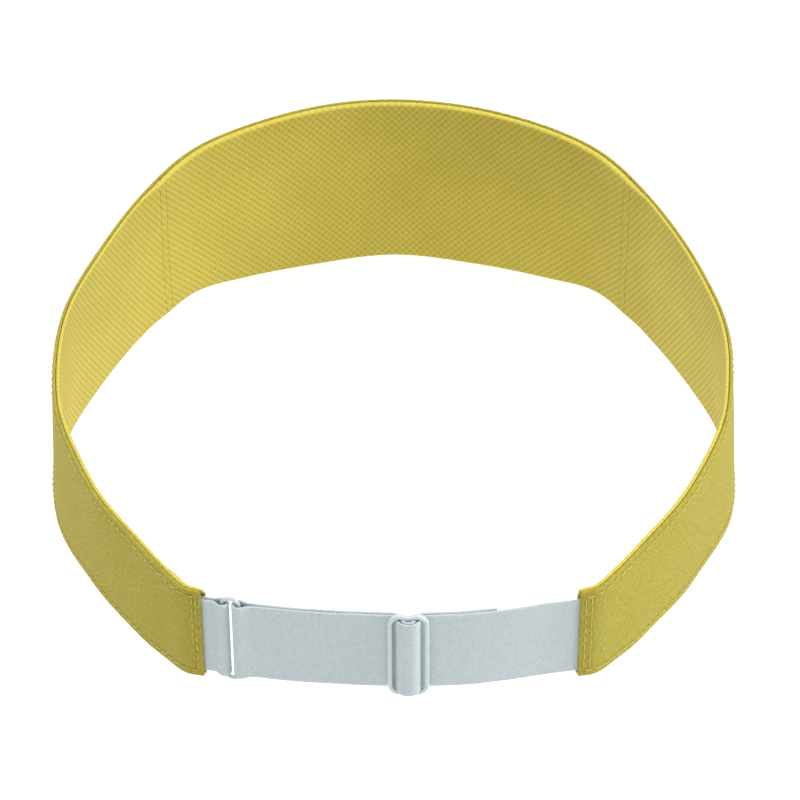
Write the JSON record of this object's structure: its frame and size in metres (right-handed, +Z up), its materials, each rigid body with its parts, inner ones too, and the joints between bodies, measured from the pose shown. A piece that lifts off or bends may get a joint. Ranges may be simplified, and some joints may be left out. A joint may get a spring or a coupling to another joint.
{
  "type": "sun visor",
  "caption": "Open-crowned fabric sun visor with a curved brim, a lined head band and an elastic back strap adjusted by a slider.",
  "frame": {"origin": "centre of the head opening, 25 mm below the top edge of the band's front", "axes": "+Z up, -Y towards the brim's tip, +X towards the wearer's left"},
  "size_m": [0.1728, 0.266, 0.0755],
  "materials": {
    "shell_fabric": "fine melange weave",
    "lining_mesh": "dobby mesh",
    "buckram": "stiff open weave",
    "elastic": "ribbed knit elastic",
    "brim_plastic": "smooth sheet",
    "slider_plastic": "moulded, glossy"
  },
  "bodies": {
    "root": {"shell_front": "shell_fabric", "shell_left": "shell_fabric", "shell_right": "shell_fabric", "lining_front": "lining_mesh", "lining_left": "lining_mesh", "lining_right": "lining_mesh", "front_stiffener": "buckram", "brim_cover_top": "shell_fabric", "brim_board": "brim_plastic", "brim_cover_bottom": "shell_fabric", "elastic_tab": "elastic", "strap_outer_left": "elastic", "strap_outer_right": "elastic", "strap_inner_left": "elastic", "strap_tail": "elastic"},
    "slider": {"slider": "slider_plastic", "strap_bight_outer": "elastic", "strap_bight_inner": "elastic"},
    "ring": {"ring": "slider_plastic", "strap_ring_loop": "elastic"}
  },
  "joints": [
    {"name": "slider_travel", "type": "slide", "parent": "root", "child": "slider", "axis": [1, 0, 0], "range_m": [-0.012, 0.011], "deforming": ["strap_outer_left", "strap_outer_right", "strap_inner_left", "strap_tail"]},
    {"name": "ring_swivel", "type": "hinge", "parent": "root", "child": "ring", "pos_m": [0.0386, 0.0899, 0.0104], "axis": [0, 0, 1], "range_deg": [-10, 10], "deforming": ["strap_outer_left", "strap_inner_left"]}
  ]
}
